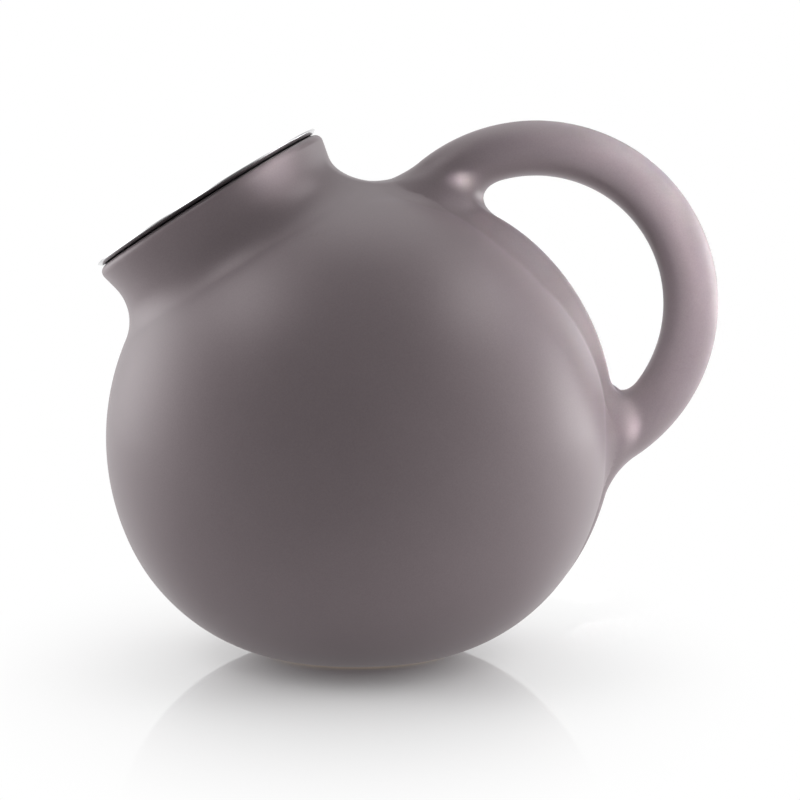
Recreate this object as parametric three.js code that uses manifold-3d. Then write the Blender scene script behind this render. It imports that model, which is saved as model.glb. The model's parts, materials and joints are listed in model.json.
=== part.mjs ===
// A round stoneware milk jug with a leaning neck, a loop handle and a lift-out steel pouring insert.
// Millimetres, +Z up. The origin is the middle of the foot, +X points to the handle, and the neck leans
// towards -X. Heights in the neck are measured along its own axis from the globe's centre.
import * as THREE from "three";
import { mergeVertices } from "three/addons/utils/BufferGeometryUtils.js";
import Module from "manifold-3d";

const wasm = await Module();
wasm.setup();

const degrees = THREE.MathUtils.degToRad;

// Globe and foot
const globeRadius = 70;
const baseFlattening = 9.2; // how far the base is pressed up into the full globe
const baseShoulder = degrees(24.2); // angle below the equator where the globe starts to flatten
const footRadius = 24;
const footBevel = 7; // width of the bevel turned round the foot
const wall = 4;
const floorThickness = 4.5;

// Neck
const neckLean = degrees(32);
const neckRise = 7.7; // lip above the globe's own surface
const flareLength = 9.6; // from the waist up to the lip
const flareAngle = degrees(12.5);
const waistRadius = 34.5;
const neckWall = 3.5;
const lipRound = 2;
const lipInnerRound = 0.8;

// Handle: a ring in the jug's middle plane, with a raised band on the globe between its two roots
const loopRadius = 43.1; // of the ring's centreline
const loopSink = 7.5; // how far the ring's centre lies under the globe's surface
const loopElevation = degrees(36.7);
const handleThickness = 15;
const handleTopWidth = 22;
const handleFootWidth = 16;
const rootFlare = 2.6; // how much the ring thickens where it meets the globe
const rootFlareArc = degrees(14);
const bandHeight = 3.4; // of the raised band above the globe
const bandFlank = degrees(33);
const bandTaper = degrees(12);
const luteGap = 0.3; // slip joint between handle and globe

// Pouring insert
const fitGap = 0.2; // between pieces that rest on or grip one another
const rimSheet = 0.6;
const rimSetback = 0.3; // of the drip edge behind the lip's outer edge
const dripWidth = 0.9;
const dripAngle = degrees(31);
const rimBend = 1.2;
const cupDepth = 14.3; // from the flange down to the cup's floor
const cupFloorWidth = 5.6; // of the floor ring that is left round the opening
const sealFlange = 0.25;
const sealSetback = 1; // of the seal's edge inside the start of the drip edge
const sleeveWall = 1.2;
const ribHeight = 1.2;
const ribCount = 3;
const ribPitch = 3.2;
const sleeveLength = 11.3;
const seatWall = 0.6;
const seatLap = 1.8; // of the flap's seat over the floor ring

// Flap and hinge
const flapSheet = 0.8;
const flapOverlap = 2.2; // of the flap past the edge of the opening
const flapTail = 0.7; // of the flap behind the pin
const hingeSetback = 4.1; // of the pin inside the cup's wall
const pinRadius = 1;
const pinPlay = 0.09;
const pinHeadRadius = 1.6;
const pinHeadLength = 0.7;
const strapSheet = 0.9;
const strapLength = 12.5;
const strapWidth = 14.4;
const earGap = 0.4;
const bracketSheet = 0.7;
const bracketRise = 1.9; // of the back plate above and below the pin
const flapOpening = degrees(70);
const stopPlay = degrees(4);
const stopWidth = 4;
const stopThickness = 1.2;
const stopBite = 0.3; // how far the stop finger would reach past the back plate

// Faces round the turned pieces, and steps along the curves
const globeSegments = 56;
const ringSegments = 48;
const fineSegments = 2 * ringSegments;
const pinSegments = 24;
const handleSides = 16;
const handleSteps = 36;
const bandSteps = 16;
const beddingSteps = 36;
const globeSteps = 24;
const insideSteps = 18;
const filletSteps = 6;
const bendSteps = 4;
const innerLipSteps = 2;
const sealBendSteps = 3;
const weldDistance = 1e-4;
const cutMargin = 1; // by which a cutting shape stands past what it cuts

// Sizes that follow from the ones above
const globeHeight = globeRadius - baseFlattening; // of the globe's centre above the foot
const innerRadius = globeRadius - wall;
const lipTop = globeRadius + neckRise;
const waistHeight = lipTop - flareLength;
const neckBore = waistRadius - neckWall;
const waistReach = waistHeight ** 2 + waistRadius ** 2 - globeRadius ** 2;
const neckFillet = waistReach / (2 * (globeRadius - waistRadius));
const flareStart = new THREE.Vector2(
  waistRadius + neckFillet * (1 - Math.cos(flareAngle)),
  waistHeight + neckFillet * Math.sin(flareAngle),
);
const lipCentre = new THREE.Vector2(0, lipTop - lipRound);
lipCentre.x = flareStart.x + (lipCentre.y - flareStart.y) * Math.tan(flareAngle);
lipCentre.x -= lipRound / Math.cos(flareAngle);
const lipRadius = lipCentre.x + lipRound;

const ribReach = neckBore - fitGap;
const sleeveRadius = ribReach - ribHeight;
const sleeveBore = sleeveRadius - sleeveWall;
const cupRadius = sleeveBore - fitGap;
const cupBore = cupRadius - rimSheet;
const sealTop = lipTop + fitGap + sealFlange;
const flangeUnder = sealTop + fitGap;
const flangeTop = flangeUnder + rimSheet;
const dripRadius = lipRadius - rimSetback;
const dripStart = dripRadius - dripWidth;
const floorUnder = flangeUnder - cupDepth;
const floorTop = floorUnder + rimSheet;
const openingRadius = cupBore - cupFloorWidth;
const seatTop = floorTop + fitGap + seatWall;
const flapUnder = seatTop + fitGap;
const flapTop = flapUnder + flapSheet;
const flapRadius = openingRadius + flapOverlap;
const curlRadius = pinRadius + pinPlay + strapSheet;
const strapUnder = flapTop + fitGap;
const pinHeight = strapUnder + curlRadius;
const pinX = cupBore - hingeSetback;
const plateRadius = cupBore - fitGap;
const plateBore = plateRadius - bracketSheet;
const earInner = strapWidth / 2 + earGap;
const earOuter = earInner + bracketSheet;

const stoneware = new THREE.MeshStandardMaterial({ color: 0x80757a, roughness: 0.38, metalness: 0 });
const steel = new THREE.MeshStandardMaterial({ color: 0xc4c5c8, roughness: 0.22, metalness: 1 });
const silicone = new THREE.MeshStandardMaterial({ color: 0x17171a, roughness: 0.7, metalness: 0 });

const point = (x, y) => new THREE.Vector2(x, y);

// Points along a circular arc, both ends included.
function arc(centre, radius, from, to, steps) {
  return Array.from({ length: steps + 1 }, (_, i) => {
    const angle = from + ((to - from) * i) / steps;
    return point(centre.x + radius * Math.cos(angle), centre.y + radius * Math.sin(angle));
  });
}

// A profile of radius and height turned about the Z axis.
function turned(profile, segments) {
  return new THREE.LatheGeometry(profile, segments).rotateX(Math.PI / 2);
}

// A closed profile turned into a ring: its first point is repeated at the end.
function turnedRing(profile, segments) {
  return turned([...profile, profile[0]], segments);
}

// An outline of x and height carried along Y, centred on the middle plane.
function acrossY(outline, width) {
  const options = { depth: width, bevelEnabled: false, curveSegments: pinSegments / 2 };
  return new THREE.ExtrudeGeometry(outline, options).translate(0, 0, -width / 2).rotateX(Math.PI / 2);
}

// A closed skin over rings of equally many points, with a flat cap at each end.
function lofted(rings) {
  const sides = rings[0].length;
  const corners = rings.flat().flatMap((p) => [p.x, p.y, p.z]);
  const faces = [];
  for (let i = 0; i + 1 < rings.length; i++) {
    for (let j = 0; j < sides; j++) {
      const a = i * sides + j;
      const b = i * sides + ((j + 1) % sides);
      faces.push(a, b + sides, b, a, a + sides, b + sides);
    }
  }
  const last = (rings.length - 1) * sides;
  for (let j = 1; j + 1 < sides; j++) {
    faces.push(0, j, j + 1, last, last + j + 1, last + j);
  }
  const skin = new THREE.BufferGeometry();
  skin.setAttribute("position", new THREE.Float32BufferAttribute(corners, 3));
  skin.setIndex(faces);
  return skin;
}

function solid(geometry) {
  const bare = new THREE.BufferGeometry();
  bare.setAttribute("position", geometry.getAttribute("position"));
  bare.setIndex(geometry.getIndex());
  const merged = mergeVertices(bare, weldDistance);
  return new wasm.Manifold(
    new wasm.Mesh({
      numProp: 3,
      vertProperties: new Float32Array(merged.getAttribute("position").array),
      triVerts: new Uint32Array(merged.getIndex().array),
    }),
  );
}

function skinOf(manifold) {
  const mesh = manifold.getMesh();
  const skin = new THREE.BufferGeometry();
  skin.setAttribute("position", new THREE.BufferAttribute(mesh.vertProperties, 3));
  skin.setIndex(new THREE.BufferAttribute(mesh.triVerts, 1));
  return skin;
}

function piece(name, geometry, material) {
  const mesh = new THREE.Mesh(geometry, material);
  mesh.name = name;
  return mesh;
}

function block(low, high) {
  const size = new THREE.Vector3().subVectors(high, low);
  const middle = new THREE.Vector3().addVectors(low, high).multiplyScalar(0.5);
  return new THREE.BoxGeometry(size.x, size.y, size.z).translate(middle.x, middle.y, middle.z);
}

// The flattened base: one arc that leaves the globe smoothly at the shoulder and ends at the foot's edge.
const footReach = footRadius * Math.cos(baseShoulder) + globeHeight * Math.sin(baseShoulder);
const baseRound =
  (footRadius ** 2 + globeHeight ** 2 - 2 * globeRadius * footReach + globeRadius ** 2) /
  (2 * (globeRadius - footReach));
const baseOffset = globeRadius - baseRound; // from the globe's centre to the arc's

// Distance from the globe's centre to the flattened skin, in a direction below the equator.
function baseDistance(below, inset) {
  const turn = below - baseShoulder;
  const radius = baseRound - inset;
  const reach = baseOffset * Math.cos(turn) + Math.sqrt(radius ** 2 - (baseOffset * Math.sin(turn)) ** 2);
  if (reach * Math.cos(below) > baseOffset * Math.cos(baseShoulder)) {
    return reach;
  }
  return (baseOffset * Math.sin(baseShoulder) + radius) / Math.sin(below);
}

// Height of the flattened skin above the ground, at a distance from the jug's upright axis.
function baseHeight(radius) {
  const aside = radius - baseOffset * Math.cos(baseShoulder);
  return globeHeight - baseOffset * Math.sin(baseShoulder) - Math.sqrt(baseRound ** 2 - aside ** 2);
}

// Draws the points of the turned globe in towards its centre, where its base is flatter than a globe.
function flattenBase(geometry) {
  const positions = geometry.getAttribute("position");
  const centre = new THREE.Vector3(0, 0, globeHeight);
  const midRadius = globeRadius - wall / 2;
  const p = new THREE.Vector3();
  for (let i = 0; i < positions.count; i++) {
    p.fromBufferAttribute(positions, i).sub(centre);
    const below = Math.asin(Math.max(-1, Math.min(1, -p.z / p.length())));
    const inside = p.length() < midRadius;
    if (below > baseShoulder) {
      p.setLength(baseDistance(below, inside ? wall : 0));
    }
    p.add(centre);
    if (inside) {
      p.z = Math.max(p.z, floorThickness);
    }
    positions.setXYZ(i, p.x, p.y, p.z);
  }
  return geometry;
}

function jugProfile() {
  const filletCentre = point(waistRadius + neckFillet, waistHeight);
  const tangent = Math.atan2(filletCentre.y, filletCentre.x);
  const origin = point(0, 0);
  const boreFoot = Math.acos(neckBore / innerRadius);
  const innerLipCentre = point(neckBore + lipInnerRound, lipTop - lipInnerRound);
  return [
    ...arc(origin, globeRadius, -Math.PI / 2, tangent, globeSteps).slice(0, -1),
    ...arc(filletCentre, neckFillet, Math.PI + tangent, Math.PI - flareAngle, filletSteps),
    ...arc(lipCentre, lipRound, -flareAngle, Math.PI / 2, bendSteps),
    ...arc(innerLipCentre, lipInnerRound, Math.PI / 2, Math.PI, innerLipSteps),
    ...arc(origin, innerRadius, boreFoot, -Math.PI / 2, insideSteps),
  ].map((p) => point(Math.max(p.x, 0), p.y));
}

function jugBody() {
  const globe = turned(jugProfile(), globeSegments);
  globe.rotateY(-neckLean).translate(0, 0, globeHeight);
  flattenBase(globe);
  const reach = 2 * globeRadius;
  const ground = block(new THREE.Vector3(-reach, -reach, -reach), new THREE.Vector3(reach, reach, 0));
  const bevelRadius = footRadius + footBevel;
  const bevel = turnedRing(
    [
      point(footRadius, -wall),
      point(bevelRadius, -wall),
      point(bevelRadius, baseHeight(bevelRadius)),
      point(footRadius, 0),
    ],
    globeSegments,
  );
  return piece("jug_body", skinOf(solid(globe).subtract(solid(ground)).subtract(solid(bevel))), stoneware);
}

// Where the ring's centreline meets the globe, as an angle at the globe's centre and one at the ring's.
const loopCentreDistance = globeRadius - loopSink;
const rootSpread = Math.acos(
  (globeRadius ** 2 + loopCentreDistance ** 2 - loopRadius ** 2) / (2 * globeRadius * loopCentreDistance),
);
const rootTurn = Math.acos(
  (globeRadius ** 2 - loopCentreDistance ** 2 - loopRadius ** 2) / (2 * loopCentreDistance * loopRadius),
);

// Half the handle's width, from its lower root (0) to its upper root (1).
function handleHalfWidth(share) {
  const along = Math.max(0, Math.min(1, share));
  return (handleFootWidth + (handleTopWidth - handleFootWidth) * along) / 2;
}

// The ring from inside the globe at its lower root, round and back in at its upper root.
function handleLoop() {
  const sink = rootFlareArc;
  const from = -rootTurn - sink;
  const to = rootTurn + sink;
  const centreX = loopCentreDistance * Math.cos(loopElevation);
  const centreZ = globeHeight + loopCentreDistance * Math.sin(loopElevation);
  const rings = [];
  for (let i = 0; i <= handleSteps; i++) {
    const turn = from + ((to - from) * i) / handleSteps;
    const toRoot = Math.max(0, rootTurn - Math.abs(turn)) / rootFlareArc;
    const flare = rootFlare * Math.max(0, 1 - toRoot) ** 2;
    const thick = handleThickness / 2 + flare;
    const wide = handleHalfWidth((turn + rootTurn) / (2 * rootTurn)) + flare;
    const ring = [];
    for (let j = 0; j < handleSides; j++) {
      const around = (2 * Math.PI * j) / handleSides;
      const radius = loopRadius + thick * Math.cos(around);
      const angle = loopElevation + turn;
      ring.push(
        new THREE.Vector3(
          centreX + radius * Math.cos(angle),
          -wide * Math.sin(around),
          centreZ + radius * Math.sin(angle),
        ),
      );
    }
    rings.push(ring);
  }
  return lofted(rings);
}

// The raised band: a flat crest with sloping flanks, carried round the globe from root to root.
function handleBand() {
  const flankRun = handleTopWidth / 2 + bandHeight;
  const from = loopElevation - rootSpread;
  const to = loopElevation + rootSpread;
  const rings = [];
  for (let i = 0; i <= bandSteps; i++) {
    const elevation = from + ((to - from) * i) / bandSteps;
    const toEnd = Math.min(elevation - from, to - elevation) / bandTaper;
    const crest = globeRadius + bandHeight * Math.sin((Math.PI / 2) * Math.min(1, toEnd));
    const half = handleHalfWidth(i / bandSteps);
    const foot = crest - flankRun * Math.tan(bandFlank);
    const section = [point(half + flankRun, foot), point(half, crest), point(-half, crest)];
    section.push(point(-half - flankRun, foot));
    rings.push(
      section.map(
        (p) =>
          new THREE.Vector3(p.y * Math.cos(elevation), p.x, globeHeight + p.y * Math.sin(elevation)),
      ),
    );
  }
  return lofted(rings);
}

function handle() {
  const cutter = arc(point(0, 0), globeRadius + luteGap, -Math.PI / 2, Math.PI / 2, beddingSteps);
  const bedding = turned(cutter.map((p) => point(Math.max(p.x, 0), p.y)), fineSegments);
  bedding.rotateY(-neckLean).translate(0, 0, globeHeight);
  const ring = solid(handleLoop()).add(solid(handleBand()));
  return piece("handle", skinOf(ring.subtract(solid(bedding))), stoneware);
}

// One pressing: drip edge, flange over the lip, cup wall and floor ring.
function pouringRim() {
  const dripRise = dripWidth * Math.tan(dripAngle);
  const edge = point(-rimSheet * Math.sin(dripAngle), rimSheet * Math.cos(dripAngle));
  const tip = point(dripRadius, flangeUnder + dripRise);
  const topTurn = rimSheet * Math.tan(dripAngle / 2);
  const innerBend = rimBend + rimSheet;
  const outerBendCentre = point(cupRadius + rimBend, flangeUnder - rimBend);
  const innerBendCentre = point(cupBore + innerBend, flangeTop - innerBend);
  return piece(
    "pouring_rim",
    turnedRing(
      [
        point(openingRadius, floorUnder),
        point(cupRadius, floorUnder),
        ...arc(outerBendCentre, rimBend, Math.PI, Math.PI / 2, bendSteps),
        point(dripStart, flangeUnder),
        tip,
        point(tip.x + edge.x, tip.y + edge.y),
        point(dripStart - topTurn, flangeTop),
        ...arc(innerBendCentre, innerBend, Math.PI / 2, Math.PI, bendSteps),
        point(cupBore, floorTop),
        point(openingRadius, floorTop),
      ],
      ringSegments,
    ),
    steel,
  );
}

// The sleeve grips the neck with round ribs, and its flange lies between the lip and the steel.
function sealSleeve() {
  const under = lipTop + fitGap;
  const bend = rimBend - fitGap;
  const low = sealTop - sleeveLength;
  const firstRib = low + ribHeight;
  const ribs = Array.from({ length: ribCount }, (_, i) =>
    arc(point(sleeveRadius, firstRib + i * ribPitch), ribHeight, -Math.PI / 2, Math.PI / 2, bendSteps),
  ).flat();
  return piece(
    "seal_sleeve",
    turnedRing(
      [
        point(sleeveBore, low),
        ...ribs,
        point(sleeveRadius, under),
        point(dripStart - sealSetback, under),
        point(dripStart - sealSetback, sealTop),
        ...arc(point(sleeveBore + bend, sealTop - bend), bend, Math.PI / 2, Math.PI, sealBendSteps),
      ],
      ringSegments,
    ),
    silicone,
  );
}

// A channel ring pushed over the edge of the opening.
function flapSeat() {
  const bore = openingRadius - fitGap - seatWall;
  const outer = openingRadius + seatLap;
  const low = floorUnder - fitGap;
  return piece(
    "flap_seat",
    turnedRing(
      [
        point(bore, low - seatWall),
        point(outer, low - seatWall),
        point(outer, low),
        point(openingRadius - fitGap, low),
        point(openingRadius - fitGap, floorTop + fitGap),
        point(outer, floorTop + fitGap),
        point(outer, seatTop),
        point(bore, seatTop),
      ],
      ringSegments,
    ),
    silicone,
  );
}

// A round plate with its tail cut straight behind the pin.
function pourFlap() {
  const tail = pinX + flapTail;
  const tailAngle = Math.acos(Math.min(1, tail / flapRadius));
  const outline = new THREE.Shape();
  outline.absarc(0, 0, flapRadius, tailAngle, 2 * Math.PI - tailAngle);
  outline.closePath();
  const options = { depth: flapSheet, bevelEnabled: false, curveSegments: ringSegments };
  return piece("pour_flap", new THREE.ExtrudeGeometry(outline, options).translate(0, 0, flapUnder), steel);
}

// The strap lies on the flap, curls round the pin and carries the finger that stops the flap when open.
function flapStrap() {
  const strapTop = strapUnder + strapSheet;
  const curlExit = Math.PI + Math.asin((pinHeight - strapTop) / curlRadius);
  const outline = new THREE.Shape();
  outline.moveTo(pinX - strapLength, strapUnder);
  outline.lineTo(pinX, strapUnder);
  outline.absarc(pinX, pinHeight, curlRadius, -Math.PI / 2, curlExit);
  outline.lineTo(pinX - strapLength, strapTop);
  outline.closePath();
  const bore = new THREE.Path();
  bore.absarc(pinX, pinHeight, pinRadius + pinPlay, 0, 2 * Math.PI, true);
  outline.holes.push(bore);

  const plateGap = plateBore - pinX;
  const reach = plateGap + stopBite;
  const lead = Math.PI / 2 - (Math.asin(plateGap / reach) - flapOpening - stopPlay);
  const along = point(Math.cos(lead), Math.sin(lead));
  const aside = point(-along.y * stopThickness, along.x * stopThickness);
  const rootAt = pinRadius + pinPlay + strapSheet / 2;
  const root = point(pinX + along.x * rootAt, pinHeight + along.y * rootAt);
  const tip = point(pinX + along.x * reach, pinHeight + along.y * reach);
  const finger = new THREE.Shape();
  finger.moveTo(root.x, root.y);
  finger.lineTo(tip.x, tip.y);
  finger.lineTo(tip.x + aside.x, tip.y + aside.y);
  finger.lineTo(root.x + aside.x, root.y + aside.y);
  finger.closePath();
  const whole = solid(acrossY(outline, strapWidth)).add(solid(acrossY(finger, stopWidth)));
  return piece("flap_strap", skinOf(whole), steel);
}

// A back plate that follows the cup's wall, with an ear at each end for the pin.
function hingeBracket() {
  const earRadius = pinHeight - flapTop - fitGap;
  const low = pinHeight - bracketRise;
  const high = pinHeight + bracketRise;
  const wallRing = turnedRing(
    [point(plateBore, low), point(plateRadius, low), point(plateRadius, high), point(plateBore, high)],
    fineSegments,
  );
  const below = low - cutMargin;
  const above = high + cutMargin;
  const window = block(new THREE.Vector3(0, -earOuter, below), new THREE.Vector3(cupBore, earOuter, above));
  let bracket = solid(wallRing).intersect(solid(window));
  const inside = turned(
    [point(0, below), point(plateRadius, below), point(plateRadius, above), point(0, above)],
    fineSegments,
  );
  const ear = new THREE.Shape();
  ear.moveTo(pinX, pinHeight - earRadius);
  ear.lineTo(cupBore, pinHeight - earRadius);
  ear.lineTo(cupBore, pinHeight + earRadius);
  ear.lineTo(pinX, pinHeight + earRadius);
  ear.absarc(pinX, pinHeight, earRadius, Math.PI / 2, (3 * Math.PI) / 2);
  const bore = new THREE.Path();
  bore.absarc(pinX, pinHeight, pinRadius + pinPlay, 0, 2 * Math.PI, true);
  ear.holes.push(bore);
  for (const side of [-1, 1]) {
    const plate = acrossY(ear, bracketSheet).translate(0, (side * (earInner + earOuter)) / 2, 0);
    bracket = bracket.add(solid(plate).intersect(solid(inside)));
  }
  return piece("hinge_bracket", skinOf(bracket), steel);
}

function hingePin() {
  const head = earOuter + fitGap;
  const end = head + pinHeadLength;
  const profile = [
    point(0, -end),
    point(pinHeadRadius, -end),
    point(pinHeadRadius, -head),
    point(pinRadius, -head),
    point(pinRadius, head),
    point(pinHeadRadius, head),
    point(pinHeadRadius, end),
    point(0, end),
  ];
  const pin = turned(profile, pinSegments).rotateX(-Math.PI / 2).translate(pinX, 0, pinHeight);
  return piece("hinge_pin", pin, steel);
}

const insert = new THREE.Group();
insert.position.set(0, 0, globeHeight);
insert.rotation.y = -neckLean;
insert.add(pouringRim(), sealSleeve(), flapSeat(), hingeBracket(), hingePin(), pourFlap(), flapStrap());

const jug = new THREE.Group();
jug.add(jugBody(), handle(), insert);

export default jug;
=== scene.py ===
import json

import bpy
import numpy as np
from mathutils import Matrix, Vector


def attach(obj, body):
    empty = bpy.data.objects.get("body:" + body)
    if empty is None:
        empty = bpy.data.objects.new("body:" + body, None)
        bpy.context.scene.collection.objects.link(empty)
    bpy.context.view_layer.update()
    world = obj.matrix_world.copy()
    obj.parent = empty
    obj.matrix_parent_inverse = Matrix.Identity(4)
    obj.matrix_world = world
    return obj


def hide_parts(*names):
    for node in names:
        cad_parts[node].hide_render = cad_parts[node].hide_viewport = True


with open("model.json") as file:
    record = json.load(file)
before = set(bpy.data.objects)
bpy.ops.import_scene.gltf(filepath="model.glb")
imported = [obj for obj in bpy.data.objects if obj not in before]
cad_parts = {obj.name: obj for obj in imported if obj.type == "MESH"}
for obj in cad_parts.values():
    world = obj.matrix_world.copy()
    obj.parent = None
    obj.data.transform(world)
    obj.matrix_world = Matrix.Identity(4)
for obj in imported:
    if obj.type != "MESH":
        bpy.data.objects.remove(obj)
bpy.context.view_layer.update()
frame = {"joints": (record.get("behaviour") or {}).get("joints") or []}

# The looks of a round stoneware milk jug with a leaning neck, a loop handle and a lift-out steel pouring
# insert. Metres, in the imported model's own frame: the origin is the middle of the foot, +X points to the
# handle. Places in the neck are given across its axis, to the side of it and along it, from the globe's
# centre.
joints = {joint["name"]: joint for joint in frame["joints"]}

# Globe and foot
GLOBE_HEIGHT = 0.0608
GLOBE_RADIUS = 0.070
BASE_SHOULDER = np.radians(24.2)
FOOT_RADIUS = 0.024
FOOT_ROUND = 0.0006
WALL = 0.004
FLOOR_THICKNESS = 0.0045

# Neck
LIP_TOP = 0.0778
WAIST_RADIUS = 0.0345
WAIST_HEIGHT = 0.0681
FLARE_ANGLE = np.radians(12.5)
NECK_BORE = 0.031
LIP_ROUND = 0.0020
LIP_INNER_ROUND = 0.0008

# Handle: a ring in the middle plane, and a raised band on the globe between its two roots
LOOP_RADIUS = 0.04346
LOOP_CENTRE = np.array([0.04966, 0, 0.03718])
HANDLE_THICKNESS = 0.0152
HANDLE_TOP_WIDTH = 0.022
HANDLE_FOOT_WIDTH = 0.016
ROOT_TURN = np.radians(99.2)
ROOT_SPREAD = np.radians(37.4)
ROOT_SINK = 0.002
ROOT_DEEPEST = 0.003
UPPER_ROOT_FILLETS = (0.0099, 0.0073)
LOWER_ROOT_FILLETS = (0.0079, 0.0063)
BAND_HEIGHT = 0.00314
BAND_FLANK = np.radians(33)
BAND_EDGE = 0.0008
BAND_SINK = 0.0003
BAND_CREASE = 0.0003
BAND_REACH = 0.030
# Where the band and its saddle rise and fade, and its widths: -1 is its lower root, 1 its upper root
BAND_FADES = (-2.72, 0.35, 0.30, 1.70)
BAND_WIDTHS = ((-1.4, -0.6, 0.1, 0.5, 1.0, 2.2), (0.004, 0.0058, 0.0117, 0.0117, 0.010, 0.003))
SADDLE_FADES = (0.9, 1.8, 2.0, 2.6)
SADDLE_FILLET = 0.010

# Rows, columns and search steps of the stoneware's skin
GLOBE_ROWS = 190
GLOBE_COLUMNS = 300
GLOBE_CROWDING = 0.72
GLOBE_RISE = 0.006
HANDLE_ROWS = 170
HANDLE_COLUMNS = 72
HANDLE_RISE = 0.006
SKIN_LIFT = 0.00003
NORMAL_STEP = 0.0001
FOOT_BLEND = 0.002
POLE_GAP = np.radians(0.4)
FILLET_ROWS = 22
FLARE_ROWS = 6
LIP_ROWS = 12
INNER_LIP_ROWS = 7
BORE_ROWS = 9
INSIDE_ROWS = 48
ROOT_SEARCH = np.radians(60)
TRIM_HALVINGS = 30
RISE_HALVINGS = 20
LIFT_SHARE = 0.3
CORNER_STEPS = 5

# Directions, and sizes that follow from the ones above
ALONG = np.array(joints["insert_lift"]["axis"])
ACROSS = np.array([ALONG[2], 0, -ALONG[0]])
SIDE = np.array([0, 1.0, 0])
CENTRE = np.array([0, 0, GLOBE_HEIGHT])
LOOP_ELEVATION = np.arctan2(LOOP_CENTRE[2], LOOP_CENTRE[0])
FILLET_SPARE = WAIST_HEIGHT**2 + WAIST_RADIUS**2 - GLOBE_RADIUS**2
FILLET_RADIUS = FILLET_SPARE / (2 * (GLOBE_RADIUS - WAIST_RADIUS))
FILLET_CENTRE = np.array([WAIST_RADIUS + FILLET_RADIUS, WAIST_HEIGHT])
FILLET_TURN = np.arctan2(FILLET_CENTRE[1], FILLET_CENTRE[0])
FLARE_START = FILLET_CENTRE + FILLET_RADIUS * np.array([-np.cos(FLARE_ANGLE), np.sin(FLARE_ANGLE)])


def smooth_step(x, start, end):
    """0 before start and 1 after end, with a cubic between them."""
    t = np.clip((x - start) / (end - start), 0, 1)
    return t * t * (3 - 2 * t)


def between(start, end, share):
    """The value that lies so large a share of the way from start to end."""
    return start + (end - start) * share


def filleted(a, b, radius):
    """Distance from two bodies joined with a round fillet: where both are nearer than the radius, the
    joint's skin is the circle on which the two lacks, radius less distance, have the radius as their
    root sum of squares."""
    lack = np.hypot(np.maximum(radius - a, 0), np.maximum(radius - b, 0))
    return np.maximum(radius, np.minimum(a, b)) - lack


def rounded_max(a, b, width):
    """The larger of two values, with a parabola where they differ by less than width."""
    near = np.maximum(width - np.abs(a - b), 0)
    return np.maximum(a, b) + near * near / (4 * width)


def base_reach(below, inset):
    """Distance from the globe's centre to the skin at an angle below the equator: the globe's radius
    down to the shoulder, then one arc that leaves it smoothly and passes through the foot's edge, then
    a flat underside. The inset moves it inwards, for the inside of the wall."""
    foot = FOOT_RADIUS * np.cos(BASE_SHOULDER) + GLOBE_HEIGHT * np.sin(BASE_SHOULDER)
    spare = FOOT_RADIUS**2 + GLOBE_HEIGHT**2 - 2 * GLOBE_RADIUS * foot + GLOBE_RADIUS**2
    arc_radius = spare / (2 * (GLOBE_RADIUS - foot))
    offset = GLOBE_RADIUS - arc_radius
    turn = below - BASE_SHOULDER
    radius = arc_radius - inset
    on_arc = offset * np.cos(turn) + np.sqrt(radius**2 - (offset * np.sin(turn)) ** 2)
    on_flat = (offset * np.sin(BASE_SHOULDER) + radius) / np.sin(np.maximum(below, BASE_SHOULDER))
    under = np.where(on_arc * np.cos(below) > offset * np.cos(BASE_SHOULDER), on_arc, on_flat)
    return np.where(below > BASE_SHOULDER, under, GLOBE_RADIUS - inset)


def angle_below(p):
    """Angle of points from the globe's centre below its equator, by their depth over their distance."""
    return np.arcsin(np.clip(-p[..., 2] / np.linalg.norm(p, axis=-1), -1, 1))


def globe_distance(p):
    """Distance from the globe and its neck, for points from the globe's centre: above the skin along
    the radius, inside the fillet's circle round the neck's foot, and off the flared neck above that."""
    along = p @ ALONG
    radius = np.hypot(p @ ACROSS, p[..., 1])
    inward = FILLET_CENTRE[0] - radius
    down = FILLET_CENTRE[1] - along
    turn = np.arctan2(down, inward)
    on_fillet = FILLET_RADIUS - np.hypot(inward, down)
    out_of_flare = (radius - FLARE_START[0]) * np.cos(FLARE_ANGLE)
    on_flare = out_of_flare - (along - FLARE_START[1]) * np.sin(FLARE_ANGLE)
    on_globe = np.linalg.norm(p, axis=-1) - base_reach(angle_below(p), 0)
    on_neck = np.where(turn < -FLARE_ANGLE, on_flare, on_fillet)
    return np.where((turn < FILLET_TURN) & (inward > 0) & (along > 0), on_neck, on_globe)


def band_share(p):
    """Place along the band: -1 at the lower root, 0 half-way and 1 at the upper root."""
    return (np.arctan2(p[..., 2], p[..., 0]) - LOOP_ELEVATION) / ROOT_SPREAD


def risen(x, start, full, fading, end):
    """0 before start and after end, 1 between full and fading."""
    return smooth_step(x, start, full) * (1 - smooth_step(x, fading, end))


def band_distance(p):
    """Distance from the raised band: a flat crest round the globe, with flanks that slope to its sides.
    It sinks under the globe's skin past both roots, and its width follows the handle's."""
    share = band_share(p)
    rise = (BAND_HEIGHT + BAND_SINK) * risen(share, *BAND_FADES)
    crest = base_reach(angle_below(p), 0) + rise - BAND_SINK
    aside = np.abs(p[..., 1])
    over = np.hypot(p[..., 0], p[..., 2]) - crest
    flank = over * np.cos(BAND_FLANK) + (aside - np.interp(share, *BAND_WIDTHS)) * np.sin(BAND_FLANK)
    return np.maximum(rounded_max(over, flank, BAND_EDGE), aside - BAND_REACH)


def ground_distance(p):
    """Distance from globe, neck and band together, with a crisp crease beside the band that opens into
    a wide fillet in the saddle between handle and neck."""
    crease = between(BAND_CREASE, SADDLE_FILLET, risen(band_share(p), *SADDLE_FADES))
    return filleted(globe_distance(p), band_distance(p), crease)


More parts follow.
